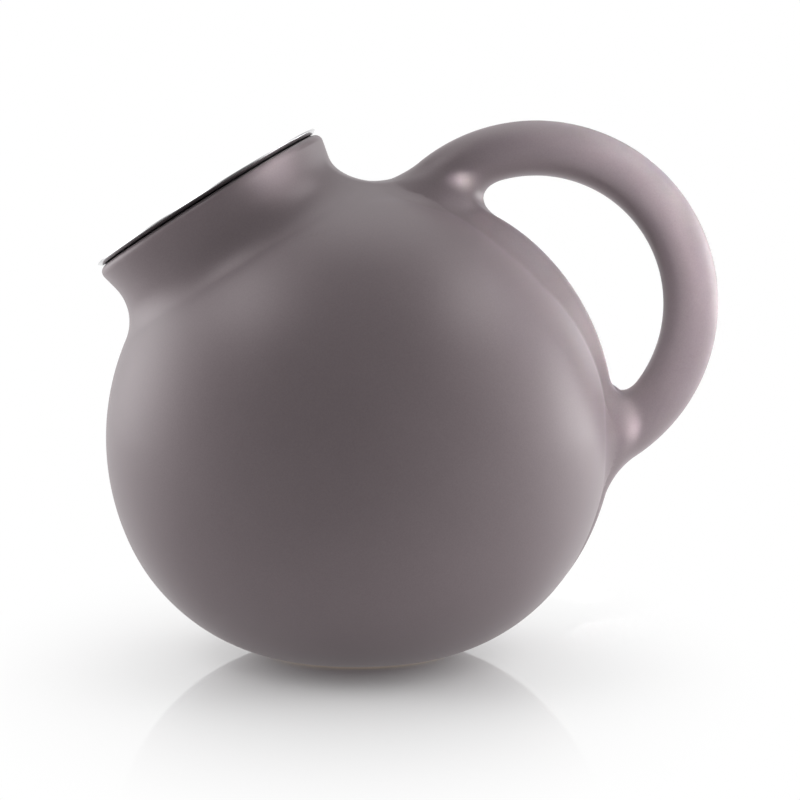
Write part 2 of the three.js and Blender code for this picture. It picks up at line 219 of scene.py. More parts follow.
def handle_half_width(turn):
    """Half the handle's width, which grows evenly with the turn from the lower root to the upper."""
    share = np.clip((turn + ROOT_TURN) / (2 * ROOT_TURN), 0, 1)
    return between(HANDLE_FOOT_WIDTH, HANDLE_TOP_WIDTH, share) / 2


def about_loop(p):
    """Turn round the ring from its outermost point, and distance outside its centreline."""
    from_centre = p - LOOP_CENTRE
    turn = np.arctan2(from_centre[..., 2], from_centre[..., 0]) - LOOP_ELEVATION
    outside = np.hypot(from_centre[..., 0], from_centre[..., 2]) - LOOP_RADIUS
    return (turn + np.pi) % (2 * np.pi) - np.pi, outside


def handle_distance(p):
    """Distance from the ring, whose section is an ellipse: its scaled radius less one, over that
    radius's slope."""
    turn, outside = about_loop(p)
    thick = HANDLE_THICKNESS / 2
    wide = handle_half_width(turn)
    scaled = np.hypot(outside / thick, p[..., 1] / wide)
    slope = np.hypot(outside / thick**2, p[..., 1] / wide**2)
    return scaled * (scaled - 1) / np.maximum(slope, 1)


def root_fillet(p):
    """Radius of the fillet at the nearer root, from its side in the loop to its side outside the
    loop."""
    turn, outside = about_loop(p)
    share = smooth_step(outside, -HANDLE_THICKNESS / 2, HANDLE_THICKNESS / 2)
    return np.where(turn > 0, between(*UPPER_ROOT_FILLETS, share), between(*LOWER_ROOT_FILLETS, share))


def stoneware_distance(p, lift):
    """Distance from the whole stoneware, for points from the globe's centre. Towards the handle the
    skin is raised by lift, and towards the globe lowered by it, so that the two pieces cross once along
    the fillet."""
    ground = ground_distance(p)
    ring = handle_distance(p)
    radius = root_fillet(p)
    side = np.clip((ground - ring) / (LIFT_SHARE * radius), -1, 1)
    return filleted(ground, ring, radius) - lift * side


def raised(points, normals, most, lift):
    """The points moved out along their normals to the stoneware's skin, found by halving, but at most
    so far."""
    inside = np.zeros(points.shape[:-1])
    outside = np.full(points.shape[:-1], most)
    for _ in range(RISE_HALVINGS):
        middle = (inside + outside) / 2
        within = stoneware_distance(points + middle[..., None] * normals, lift) < 0
        inside = np.where(within, middle, inside)
        outside = np.where(within, outside, middle)
    return points + outside[..., None] * normals


def skin_normals(points):
    """Directions in which the distance from the stoneware grows fastest, from its differences over a
    short step."""
    steps = NORMAL_STEP * np.eye(3)
    ahead = np.stack([stoneware_distance(points + step, 0) for step in steps], -1)
    behind = np.stack([stoneware_distance(points - step, 0) for step in steps], -1)
    slope = ahead - behind
    return slope / np.linalg.norm(slope, axis=-1, keepdims=True)


def arc(centre, radius, start, end, count):
    """Points along a circular arc, both ends included."""
    angle = np.linspace(start, end, count)
    return np.stack([centre[0] + radius * np.cos(angle), centre[1] + radius * np.sin(angle)], 1)


def rounded_outline(corners, radii, steps=CORNER_STEPS):
    """A closed outline with round corners: at each corner an arc of its radius, tangent to both of its
    sides."""
    corner = np.array(corners, float)
    back = np.roll(corner, 1, axis=0) - corner
    ahead = np.roll(corner, -1, axis=0) - corner
    back /= np.linalg.norm(back, axis=1, keepdims=True)
    ahead /= np.linalg.norm(ahead, axis=1, keepdims=True)
    half = np.arccos(np.clip((back * ahead).sum(1), -1, 1)) / 2
    bisector = (back + ahead) / np.linalg.norm(back + ahead, axis=1, keepdims=True)
    radius = np.array(radii, float)
    centre = corner + bisector * (radius / np.sin(half))[:, None]
    start = corner + back * (radius / np.tan(half))[:, None] - centre
    end = corner + ahead * (radius / np.tan(half))[:, None] - centre
    sweep = np.pi - 2 * half
    share = np.linspace(0, 1, steps)[None, :]
    from_start = np.sin((1 - share) * sweep[:, None]) / np.sin(sweep)[:, None]
    from_end = np.sin(share * sweep[:, None]) / np.sin(sweep)[:, None]
    points = centre[:, None] + from_start[..., None] * start[:, None] + from_end[..., None] * end[:, None]
    return points.reshape(-1, 2)


def in_neck(across, side, along):
    """Points given across the neck's axis, beside it and along it, in the jug's frame."""
    across, side, along = np.broadcast_arrays(across, side, along)
    return CENTRE + across[..., None] * ACROSS + side[..., None] * SIDE + along[..., None] * ALONG


def spun(profile, turns):
    """A profile of radius and height turned about the neck's axis: at each turn its points lie at
    radius times cosine across, radius times sine to the side, and height along the axis."""
    radius, height = profile[:, :1], profile[:, 1:]
    return in_neck(radius * np.cos(turns), radius * np.sin(turns), height)


def even_turns(count):
    """Angles that part a full turn evenly."""
    return 2 * np.pi * np.arange(count) / count


def piece(name, grid, material, body, slot, *nodes, ring=False, normals=None):
    """A closed mesh over a grid of points whose columns close round. Its rows close round too on a
    ring, and otherwise a fan at each end closes it. Faces are turned so that the enclosed volume is
    positive. Normals given for the first rows are used there where they aren't zero."""
    rows, columns = grid.shape[:2]
    points = grid.reshape(-1, 3)
    index = np.arange(rows * columns).reshape(rows, columns)
    if ring:
        index = np.concatenate([index, index[:1]])
    near, beside = index, np.roll(index, -1, axis=1)
    quads = np.stack([near[:-1], beside[:-1], beside[1:], near[1:]], -1).reshape(-1, 4)
    fans = np.zeros((0, 3), int)
    if not ring:
        poles = np.full((2, columns), [[rows * columns], [rows * columns + 1]])
        fans = np.concatenate([
            np.stack([poles[0], beside[0], near[0]], -1),
            np.stack([poles[1], near[-1], beside[-1]], -1),
        ])
        points = np.concatenate([points, [grid[0].mean(0), grid[-1].mean(0)]])
    corners = points[np.concatenate([quads[:, [0, 1, 2]], quads[:, [0, 2, 3]], fans])] - points.mean(0)
    if np.einsum("ij,ij->i", corners[:, 0], np.cross(corners[:, 1], corners[:, 2])).sum() < 0:
        quads, fans = quads[:, ::-1], fans[:, ::-1]
    mesh = bpy.data.meshes.new(name)
    mesh.from_pydata(points.tolist(), [], quads.tolist() + fans.tolist())
    mesh.polygons.foreach_set("use_smooth", np.ones(len(mesh.polygons), bool))
    if normals is not None:
        own = np.zeros(points.size, np.float32)
        mesh.vertex_normals.foreach_get("vector", own)
        whole = own.reshape(-1, 3)
        given = normals.reshape(-1, 3)
        whole[: len(given)] = np.where(given.any(1, keepdims=True), given, whole[: len(given)])
        mesh.normals_split_custom_set_from_vertices(whole.tolist())
    mesh.materials.append(material)
    made = bpy.data.objects.new(name, mesh)
    bpy.context.scene.collection.objects.link(made)
    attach(made, body)
    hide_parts(*nodes)


# Stoneware

def thrown_globe():
    """The globe with its neck, lip and inside, as one profile spun about the neck's axis. The turns
    crowd towards the handle. The outside is drawn in to the flattened base and raised to the handle's
    fillets and band."""
    lip_height = LIP_TOP - LIP_ROUND
    flared = FLARE_START[0] + (lip_height - FLARE_START[1]) * np.tan(FLARE_ANGLE)
    lip_radius = flared - LIP_ROUND / np.cos(FLARE_ANGLE)
    pole = POLE_GAP - np.pi / 2
    globe = arc((0, 0), GLOBE_RADIUS, pole, FILLET_TURN, GLOBE_ROWS)
    fillet = arc(FILLET_CENTRE, FILLET_RADIUS, np.pi + FILLET_TURN, np.pi - FLARE_ANGLE, FILLET_ROWS)[1:]
    lip = arc((lip_radius, lip_height), LIP_ROUND, -FLARE_ANGLE, np.pi / 2, LIP_ROWS)
    flare = np.linspace(FLARE_START, lip[0], FLARE_ROWS)[1:]
    edge = np.array([NECK_BORE + LIP_INNER_ROUND, LIP_TOP - LIP_INNER_ROUND])
    inner_lip = arc(edge, LIP_INNER_ROUND, np.pi / 2, np.pi, INNER_LIP_ROWS)
    inner_radius = GLOBE_RADIUS - WALL
    bore_foot = np.arccos(NECK_BORE / inner_radius)
    bore_height = np.linspace(edge[1], inner_radius * np.sin(bore_foot), BORE_ROWS)
    bore = np.stack([np.full(BORE_ROWS, NECK_BORE), bore_height], 1)
    inside = arc((0, 0), inner_radius, bore_foot, pole, INSIDE_ROWS)[1:]

    share = np.arange(GLOBE_COLUMNS) / GLOBE_COLUMNS - 0.5
    turns = 2 * np.pi * share - GLOBE_CROWDING * np.sin(2 * np.pi * share)

    skin = np.concatenate([globe, fillet, flare])
    tangent = np.gradient(skin, axis=0)
    normal = np.stack([tangent[:, 1], -tangent[:, 0]], 1) / np.linalg.norm(tangent, axis=1, keepdims=True)
    outer = spun(skin, turns) - CENTRE
    outer[:GLOBE_ROWS] *= base_reach(angle_below(outer[:GLOBE_ROWS]), 0)[..., None] / GLOBE_RADIUS
    outer = raised(outer, spun(normal, turns) - CENTRE, GLOBE_RISE, -SKIN_LIFT)
    normals = skin_normals(outer)
    outer += CENTRE
    normals[outer[..., 2] < FOOT_BLEND] = 0
    outer[..., 2] = rounded_max(outer[..., 2], 0, FOOT_ROUND)

    inner = spun(inside, turns) - CENTRE
    inner *= base_reach(angle_below(inner), WALL)[..., None] / inner_radius
    inner += CENTRE
    inner[..., 2] = rounded_max(inner[..., 2], FLOOR_THICKNESS, WALL)
    mouth = spun(np.concatenate([lip[1:], inner_lip[1:], bore[1:]]), turns)
    return np.concatenate([outer, mouth, inner]), normals


def ring_points(turn, around):
    """The plain ring: an ellipse, thick across the ring and wide to its sides, carried round the
    centreline."""
    radius = LOOP_RADIUS + HANDLE_THICKNESS / 2 * np.cos(around)
    angle = LOOP_ELEVATION + turn
    aside = handle_half_width(turn) * np.sin(around)
    return LOOP_CENTRE + np.stack([radius * np.cos(angle), aside, radius * np.sin(angle)], -1)


def pulled_handle():
    """The ring with each of its lengthwise lines trimmed where it dips under the globe's skin at either
    root, then raised to the fillets."""
    around = even_turns(HANDLE_COLUMNS)
    ends = []
    for side in (-1, 1):
        buried = np.full(HANDLE_COLUMNS, side * (ROOT_TURN + ROOT_SEARCH))
        free = np.full(HANDLE_COLUMNS, side * (ROOT_TURN - ROOT_SEARCH))
        for _ in range(TRIM_HALVINGS):
            middle = (buried + free) / 2
            deep = np.linalg.norm(ring_points(middle, around), axis=-1) < GLOBE_RADIUS - ROOT_SINK
            buried = np.where(deep, middle, buried)
            free = np.where(deep, free, middle)
        ends.append(free)
    turn = between(*ends, np.linspace(0, 1, HANDLE_ROWS)[:, None])
    angle = LOOP_ELEVATION + turn
    outward = np.cos(around) / (HANDLE_THICKNESS / 2)
    aside = np.sin(around) / handle_half_width(turn)
    length = np.hypot(outward, aside)
    normal = np.stack([outward * np.cos(angle), aside, outward * np.sin(angle)], -1) / length[..., None]
    skin = raised(ring_points(turn, around), normal, HANDLE_RISE, SKIN_LIFT)
    depth = np.linalg.norm(skin, axis=-1, keepdims=True)
    normals = skin_normals(skin)
    return CENTRE + skin * np.maximum(1, (GLOBE_RADIUS - ROOT_DEEPEST) / depth), normals


# Pouring insert

FLANGE_UNDER = 0.07815
RIM_SHEET = 0.0006
DRIP_RADIUS = 0.03554
DRIP_WIDTH = 0.0011
DRIP_ANGLE = np.radians(36)
CUP_RADIUS = 0.0282
CUP_DEPTH = 0.0141
OPENING_RADIUS = 0.022
CUP_CORNER = 0.0016
FLANGE_CORNER = 0.0012
DRIP_CORNER = 0.0012
SHEET_EDGE = 0.00018
SLEEVE_RADIUS = 0.0296
SLEEVE_LENGTH = 0.0111
RIB_HEIGHT = 0.0012
RIB_PITCH = 0.0032
RIB_COUNT = 3
SEAL_EDGE = 0.03362
SEAL_ROUND = 0.00025
CONTACT = 0.00002
SEAT_WALL = 0.0007
SEAT_LAP = 0.0018
RING_COLUMNS = 192
RIM_CORNER_STEPS = 9

FLANGE_TOP = FLANGE_UNDER + RIM_SHEET
FLOOR_UNDER = FLANGE_UNDER - CUP_DEPTH
FLOOR_TOP = FLOOR_UNDER + RIM_SHEET
CUP_BORE = CUP_RADIUS - RIM_SHEET
DRIP_START = DRIP_RADIUS - DRIP_WIDTH
FIRST_RIB = 1.5 * RIB_HEIGHT
SEAT_ROUND = SEAT_WALL / 3


def pressed_rim():
    """One steel pressing: floor ring, cup wall, flange over the lip and a drip edge that rises
    outwards."""
    rise = DRIP_WIDTH * np.tan(DRIP_ANGLE)
    tip = np.array([DRIP_RADIUS, FLANGE_UNDER + rise])
    top_tip = tip + RIM_SHEET * np.array([-np.sin(DRIP_ANGLE), np.cos(DRIP_ANGLE)])
    top_start = DRIP_START - RIM_SHEET * np.tan(DRIP_ANGLE / 2)
    outline = rounded_outline(
        [
            (OPENING_RADIUS, FLOOR_UNDER),
            (CUP_RADIUS, FLOOR_UNDER),
            (CUP_RADIUS, FLANGE_UNDER),
            (DRIP_START, FLANGE_UNDER),
            tip,
            top_tip,
            (top_start, FLANGE_TOP),
            (CUP_BORE, FLANGE_TOP),
            (CUP_BORE, FLOOR_TOP),
            (OPENING_RADIUS, FLOOR_TOP),
        ],
        [
            SHEET_EDGE,
            CUP_CORNER + RIM_SHEET,
            FLANGE_CORNER,
            DRIP_CORNER,
            SHEET_EDGE,
            SHEET_EDGE,
            DRIP_CORNER + RIM_SHEET,
            FLANGE_CORNER + RIM_SHEET,
            CUP_CORNER,
            SHEET_EDGE,
        ],
        RIM_CORNER_STEPS,
    )
    return spun(outline, even_turns(RING_COLUMNS))


def moulded_sleeve():
    """The silicone sleeve on the cup, with round ribs that grip the neck, and the flange between lip
    and steel."""
    bore = CUP_RADIUS + CONTACT
    under = LIP_TOP + CONTACT
    top = FLANGE_UNDER - CONTACT
    low = top - SLEEVE_LENGTH
    reach = SLEEVE_RADIUS + RIB_HEIGHT
    corners = [(bore, low), (SLEEVE_RADIUS, low)]
    radii = [SEAL_ROUND, SEAL_ROUND]
    for rib in range(RIB_COUNT):
        middle = low + FIRST_RIB + rib * RIB_PITCH
        for radius, height, corner in (
            (SLEEVE_RADIUS, middle - RIB_HEIGHT, SEAL_ROUND),
            (reach, middle - RIB_HEIGHT, RIB_HEIGHT - SEAL_ROUND),
            (reach, middle + RIB_HEIGHT, RIB_HEIGHT - SEAL_ROUND),
            (SLEEVE_RADIUS, middle + RIB_HEIGHT, SEAL_ROUND),
        ):
            corners.append((radius, height))
            radii.append(corner)
    corners += [(SLEEVE_RADIUS, under), (SEAL_EDGE, under), (SEAL_EDGE, top), (bore, top)]
    radii += [SEAL_ROUND, SEAL_ROUND, SEAL_ROUND, FLANGE_CORNER]
    return spun(rounded_outline(corners, radii), even_turns(RING_COLUMNS))


def channel_seat():
    """The flap's silicone seat: a channel ring pushed over the floor ring's inner edge."""
    inner = OPENING_RADIUS - SEAT_WALL
    outer = OPENING_RADIUS + SEAT_LAP
    low, high = FLOOR_UNDER - CONTACT, FLOOR_TOP + CONTACT
    slot_end = OPENING_RADIUS - CONTACT
    corners = [
        (inner, low - SEAT_WALL),
        (outer, low - SEAT_WALL),
        (outer, low),
        (slot_end, low),
        (slot_end, high),
        (outer, high),
        (outer, high + SEAT_WALL),
        (inner, high + SEAT_WALL),
    ]
    radii = [SEAT_ROUND] * 3 + [CONTACT] * 2 + [SEAT_ROUND] * 3
    return spun(rounded_outline(corners, radii), even_turns(RING_COLUMNS))


# Flap and hinge

FLAP_SHEET = 0.0008
FLAP_RADIUS = 0.0242
FLAP_TAIL = 0.0007
FLAP_UNDER = 0.06565
PIN_RADIUS = 0.001
PIN_HEAD_RADIUS = 0.0016
PIN_HEAD_LENGTH = 0.0007
STRAP_SHEET = 0.0009
STRAP_LENGTH = 0.0125
STRAP_WIDTH = 0.0144
STRAP_CORNER = 0.003
CURL_RADIUS = 0.00154
CURL_END = np.radians(215)
FINGER_WIDTH = 0.004
FINGER_SHEET = 0.0012
FINGER_REACH = 0.0035
FINGER_LEAD = np.radians(97.9)
EAR_MIDDLE = 0.00795
EAR_RADIUS = 0.00195
EAR_BEND = 0.0012
BRACKET_SHEET = 0.0007
BRACKET_RADIUS = 0.02705
BURR_ROUND = 0.0002
FLAP_MIDDLE = 0.02
FLAP_ROWS = 12
FLAP_EDGE_ROWS = 9
STRIP_CORNER_STEPS = 4
STRAP_ROWS = 40
CURL_ROWS = 40
FINGER_ROWS = 16
EAR_ROWS = 24
BEND_ROWS = 10
PLATE_ROWS = 14
DOME_TURN = np.pi / 2 * 0.95
DOME_ROWS = 9
PIN_COLUMNS = 40

HINGE = np.array(joints["flap_tilt"]["pos_m"]) - CENTRE
PIN_ACROSS = HINGE @ ACROSS
PIN_ALONG = HINGE @ ALONG
FINGER_CORNER = FINGER_WIDTH / 4


def stamped_flap():
    """The round steel flap, its tail cut straight behind the pin: at each turn the edge is the nearer
    of the circle and the tail's line, and the skin runs from the middle out to it, round it and
    back."""
    turns = even_turns(RING_COLUMNS)
    tail = PIN_ACROSS + FLAP_TAIL
    edge = np.minimum(FLAP_RADIUS, tail / np.maximum(np.cos(turns), tail / FLAP_RADIUS))
    half = FLAP_SHEET / 2
    spread = np.linspace(FLAP_MIDDLE, 1, FLAP_ROWS)[:, None]
    round_edge = arc((-half, 0), half, -np.pi / 2, np.pi / 2, FLAP_EDGE_ROWS)
    flat = spread * (edge - half)
    rim = edge + round_edge[:, :1]
    radius = np.concatenate([flat[:-1], rim, flat[-2::-1]])
    level = np.full(len(flat) - 1, half)
    height = np.concatenate([-level, round_edge[:, 1], level])[:, None]
    return in_neck(radius * np.cos(turns), radius * np.sin(turns), FLAP_UNDER + half + height)


def strip(path, half_width, sheet, place):
    """A strip of sheet carried along a flat path: its rounded section is as thick as the sheet along
    the path's normal, and as wide as given to its sides. place turns path, normal offset and width into
    points."""
    tangent = np.gradient(path, axis=0)
    tangent /= np.linalg.norm(tangent, axis=1, keepdims=True)
    normal = np.stack([-tangent[:, 1], tangent[:, 0]], 1)
    half = sheet / 2
    corners = [(-half, -1), (half, -1), (half, 1), (-half, 1)]
    radii = [min(BURR_ROUND, half / 2)] * len(corners)
    section = rounded_outline(corners, radii, STRIP_CORNER_STEPS)
    inset = 1 - np.abs(section[:, 1])
    offset = section[:, :1].T
    width = np.sign(section[:, 1]) * (half_width[:, None] - inset)
    middle = path[:, None] + normal[:, None] * offset[..., None]
    return place(middle[..., 0], middle[..., 1], width)


def upright(across, along, side):
    """Places a strip whose path lies in the jug's middle plane, with its width to both sides of it."""
    return in_neck(across, side, along)


def level_with_pin(across, side, along):
    """Places a strip whose path lies square to the neck's axis at the pin, with its width along the
    axis."""
    return in_neck(across, side, PIN_ALONG + along)


def round_ended(distance, corner, half):
    """Half the width of a strip near its end: it narrows along a quarter circle of the corner's
    radius."""
    lack = np.maximum(corner - distance, 0)
    return half - corner + np.sqrt(np.maximum(corner**2 - lack**2, 0))


def curled_strap():
    """The strap on the flap: straight along it, then curled round the pin nearly to itself."""
    run = np.linspace(PIN_ACROSS - STRAP_LENGTH, PIN_ACROSS, STRAP_ROWS)[:-1]
    straight = np.stack([run, np.full_like(run, PIN_ALONG - CURL_RADIUS)], 1)
    curl = arc((PIN_ACROSS, PIN_ALONG), CURL_RADIUS, -np.pi / 2, CURL_END, CURL_ROWS)
    path = np.concatenate([straight, curl])
    travelled = np.concatenate([[0], np.cumsum(np.linalg.norm(np.diff(path, axis=0), axis=1))])
    half = round_ended(travelled + BURR_ROUND / 2, STRAP_CORNER, STRAP_WIDTH / 2)
    return strip(path, half, STRAP_SHEET, upright)


def stop_finger():
    """The finger on the curl that meets the bracket's back plate when the flap is open."""
    lead = np.array([np.cos(FINGER_LEAD), np.sin(FINGER_LEAD)])
    aside = np.array([-lead[1], lead[0]]) * FINGER_SHEET / 2
    reach = np.linspace(CURL_RADIUS, FINGER_REACH, FINGER_ROWS)[:, None]
    path = np.array([PIN_ACROSS, PIN_ALONG]) + reach * lead + aside
    half = round_ended(FINGER_REACH - reach[:, 0] + BURR_ROUND / 2, FINGER_CORNER, FINGER_WIDTH / 2)
    return strip(path, half, FINGER_SHEET, upright)


def folded_bracket():
    """The bracket: one strip folded into a back plate along the cup's wall and an ear at each end for
    the pin."""
    bend_side = EAR_MIDDLE - EAR_BEND
    bend_across = np.sqrt((BRACKET_RADIUS - EAR_BEND) ** 2 - bend_side**2)
    turn = np.arctan2(bend_side, bend_across)
    tip = PIN_ACROSS - EAR_RADIUS
    ear = np.stack([np.linspace(tip, bend_across, EAR_ROWS), np.full(EAR_ROWS, -EAR_MIDDLE)], 1)
    bend = arc((bend_across, -bend_side), EAR_BEND, -np.pi / 2, -turn, BEND_ROWS)[1:]
    plate = arc((0, 0), BRACKET_RADIUS, -turn, 0, PLATE_ROWS)[1:]
    first = np.concatenate([ear, bend, plate])
    path = np.concatenate([first, first[-2::-1] * [1, -1]])
    from_tip = np.minimum(path[:, 0] - tip + BURR_ROUND / 2, EAR_RADIUS)
    half = np.sqrt(EAR_RADIUS**2 - (EAR_RADIUS - from_tip) ** 2)
    return strip(path, half, BRACKET_SHEET, level_with_pin)


def riveted_pin():
    """The hinge pin along Y, with a domed rivet head outside each ear."""
    head = EAR_MIDDLE + BRACKET_SHEET / 2 + CONTACT
    dome = arc((0, 0), 1, 0, DOME_TURN, DOME_ROWS) * [PIN_HEAD_RADIUS, PIN_HEAD_LENGTH]
    radius = np.concatenate([[PIN_RADIUS, PIN_RADIUS], dome[:, 0]])
    side = np.concatenate([[0, head], head + dome[:, 1]])
    radius = np.concatenate([radius[:0:-1], radius])[:, None]
    side = np.concatenate([-side[:0:-1], side])[:, None]
    turns = even_turns(PIN_COLUMNS)
    return in_neck(PIN_ACROSS + radius * np.cos(turns), side, PIN_ALONG + radius * np.sin(turns))


# Materials

GLAZE_COLOUR = (0.160, 0.132, 0.141, 1)
GLAZE_ROUGHNESS = 0.45
GLAZE_GRAIN = {"Grain Size": 0.0004, "Grain Depth": 0.30, "Mottle Size": 0.016, "Mottle Depth": 0.10}
GLAZE_BUMP = {"Strength": 0.2, "Distance": 0.00005}
CLAY_COLOUR = (0.36, 0.29, 0.235, 1)
CLAY_ROUGHNESS = 0.85
CLAY_EDGE = (0.0003, 0.0005)
POLISHED_COLOUR = (0.62, 0.62, 0.63, 1)
POLISHED_ROUGHNESS = 0.16
POLISHED_MARK = 0.00012
HINGE_COLOUR = (0.56, 0.56, 0.57, 1)
HINGE_ROUGHNESS = 0.28
HINGE_MARK = 0.0002
MARK_TONES = (0.92, 1.08)
MARK_ROUGHNESS = (0.8, 1.25)
STEEL_BUMP = {"Strength": 0.15, "Distance": 0.00003}
SILICONE_COLOUR = (0.012, 0.012, 0.013, 1)
SILICONE_ROUGHNESS = 0.62
SILICONE_GRAIN = {"Grain Size": 0.00025, "Grain Depth": 0.3, "Mottle Size": 0.006, "Mottle Depth": 0.5}
SILICONE_BUMP = {"Strength": 0.3, "Distance": 0.00003}
GRAIN_DETAIL = 2
MOTTLE_DETAIL = 3
MARK_DETAIL = 4
NOISE_MIDDLE = 0.5
# A Mix node's inputs for two colours and for two values
COLOUR_A, COLOUR_B = 6, 7
VALUE_A, VALUE_B = 2, 3


def node_maker(tree):
    """A function that adds a node to the tree, with its settings, and links or sets the inputs
    named."""
    def node(kind, values=None, **settings):
        made = tree.nodes.new(kind)
        for name, value in settings.items():
            setattr(made, name, value)
        for name, value in (values or {}).items():
            socket = made.inputs[name]
            if isinstance(value, bpy.types.NodeSocket):
                tree.links.new(value, socket)
            else:
                socket.default_value = value
        return made

    return node


def maths(node, operation, *values):
    """The result of one Math node."""
    return node("ShaderNodeMath", dict(enumerate(values)), operation=operation).outputs[0]


def ramp(node, value, start, end, low=0.0, high=1.0, kind="LINEAR"):
    """A value that goes from low to high while another goes from start to end, and stays there
    beyond."""
    ends = {"From Min": start, "From Max": end, "To Min": low, "To Max": high}
    return node("ShaderNodeMapRange", {"Value": value, **ends}, interpolation_type=kind).outputs[0]


def toned(node, colour, tone):
    """A colour multiplied by a tone that varies over the surface."""
    return node("ShaderNodeMix", {"Factor": 1.0, COLOUR_A: colour, COLOUR_B: tone},
                data_type="RGBA", blend_type="MULTIPLY").outputs[2]


def new_group(name, inputs, outputs):
    """A shader group with a vector input and the float inputs and outputs named: its tree, its node
    maker and what is given to it."""
    tree = bpy.data.node_groups.new(name, "ShaderNodeTree")
    tree.interface.new_socket("Vector", in_out="INPUT", socket_type="NodeSocketVector")
    for way, sockets in (("INPUT", inputs), ("OUTPUT", outputs)):
        for socket in sockets:
            tree.interface.new_socket(socket, in_out=way, socket_type="NodeSocketFloat")
    node = node_maker(tree)
    return tree, node, node("NodeGroupInput").outputs


def grain_group():
    """Shader group: even fine speckle and slow mottling, as a tone near one and a height near zero."""
    inputs = ("Grain Size", "Grain Depth", "Mottle Size", "Mottle Depth")
    tree, node, given = new_group("fine_grain", inputs, ("Tone", "Height"))
    tone = 1.0
    heights = []
    for size, depth, detail in ((*inputs[:2], GRAIN_DETAIL), (*inputs[2:], MOTTLE_DETAIL)):
        scale = maths(node, "DIVIDE", 1.0, given[size])
        noise = node("ShaderNodeTexNoise", {"Vector": given["Vector"], "Scale": scale, "Detail": detail})
        centred = maths(node, "SUBTRACT", noise.outputs["Fac"], NOISE_MIDDLE)
        tone = maths(node, "MULTIPLY_ADD", centred, given[depth], tone)
        heights.append(centred)
    node("NodeGroupOutput", {"Tone": tone, "Height": maths(node, "ADD", *heights)})
    return tree


def turning_group():
    """Shader group: fine marks that run round the neck's axis, as the polishing of a spun sheet leaves
    them. The pattern is noise over radius and height, drawn out along the turn."""
    tree, node, given = new_group("turning_marks", ("Mark Width",), ("Mark",))
    lean = np.arctan2(ALONG[0], ALONG[2])
    turned = node("ShaderNodeMapping",
                  {"Vector": given["Vector"], "Location": CENTRE, "Rotation": (0, lean, 0)},
                  vector_type="TEXTURE").outputs[0]
    parts = node("ShaderNodeSeparateXYZ", {0: turned}).outputs
    flat = node("ShaderNodeCombineXYZ", {"X": parts[0], "Y": parts[1]}).outputs[0]
    radius = node("ShaderNodeVectorMath", {0: flat}, operation="LENGTH").outputs["Value"]
    turn = maths(node, "ARCTAN2", parts[1], parts[0])
    drawn_out = maths(node, "MULTIPLY", turn, given["Mark Width"])
    place = node("ShaderNodeCombineXYZ", {"X": radius, "Y": parts[2], "Z": drawn_out}).outputs[0]
    scale = maths(node, "DIVIDE", 1.0, given["Mark Width"])
    noise = node("ShaderNodeTexNoise", {"Vector": place, "Scale": scale, "Detail": MARK_DETAIL})
    node("NodeGroupOutput", {"Mark": noise.outputs["Fac"]})
    return tree


def new_material(name, **constants):
    """A material with its Principled BSDF, whose constant sockets are set directly."""
    material = bpy.data.materials.new(name)
    material.use_nodes = True
    shader = material.node_tree.nodes["Principled BSDF"]
    for socket, value in constants.items():
        shader.inputs[socket.replace("_", " ")].default_value = value
    return material, node_maker(material.node_tree), shader.inputs


def join_socket(material, output, socket):
    """Links a node's output to a socket of the material."""
    material.node_tree.links.new(output, socket)


def covered(material, node, shader, colour, roughness, height, bump):
    """The material with a colour, a roughness and the bump of a height, all of which vary over the
    surface."""
    normal = node("ShaderNodeBump", {"Height": height, **bump}).outputs[0]
    for socket, output in (("Base Color", colour), ("Roughness", roughness), ("Normal", normal)):
        join_socket(material, output, shader[socket])
    return material


def glaze(grain):
    """The mauve-grey satin glaze, and the bare clay of the foot below the glaze's edge."""
    material, node, shader = new_material(
        "satin_glaze", IOR=1.5, Specular_Tint=(1, 0.85, 0.89, 1),
        Coat_Weight=0.1, Coat_IOR=1.45, Coat_Roughness=0.2,
        Sheen_Weight=0.12, Sheen_Roughness=0.4, Sheen_Tint=(1, 0.86, 0.9, 1))
    place = node("ShaderNodeTexCoord").outputs["Object"]
    fine = node("ShaderNodeGroup", {"Vector": place, **GLAZE_GRAIN}, node_tree=grain).outputs
    bare = ramp(node, node("ShaderNodeSeparateXYZ", {0: place}).outputs["Z"], *CLAY_EDGE, 1.0, 0.0)
    glazed, clay = (toned(node, colour, fine["Tone"]) for colour in (GLAZE_COLOUR, CLAY_COLOUR))
    colour = node("ShaderNodeMix", {"Factor": bare, COLOUR_A: glazed, COLOUR_B: clay},
                  data_type="RGBA").outputs[2]
    satin = maths(node, "MULTIPLY", fine["Tone"], GLAZE_ROUGHNESS)
    matt = {"Factor": bare, VALUE_A: satin, VALUE_B: CLAY_ROUGHNESS}
    roughness = node("ShaderNodeMix", matt).outputs[0]
    return covered(material, node, shader, colour, roughness, fine["Height"], GLAZE_BUMP)


def steel(name, marks, tone, roughness, mark_width):
    """Stainless steel whose turning marks vary its tone and its roughness about the values given."""
    material, node, shader = new_material(name, Metallic=1.0)
    place = node("ShaderNodeTexCoord").outputs["Object"]
    turned = node("ShaderNodeGroup", {"Vector": place, "Mark Width": mark_width}, node_tree=marks)
    mark = turned.outputs["Mark"]
    colour = toned(node, tone, ramp(node, mark, 0.0, 1.0, *MARK_TONES))
    rough = ramp(node, mark, 0.0, 1.0, *(roughness * share for share in MARK_ROUGHNESS))
    return covered(material, node, shader, colour, rough, mark, STEEL_BUMP)


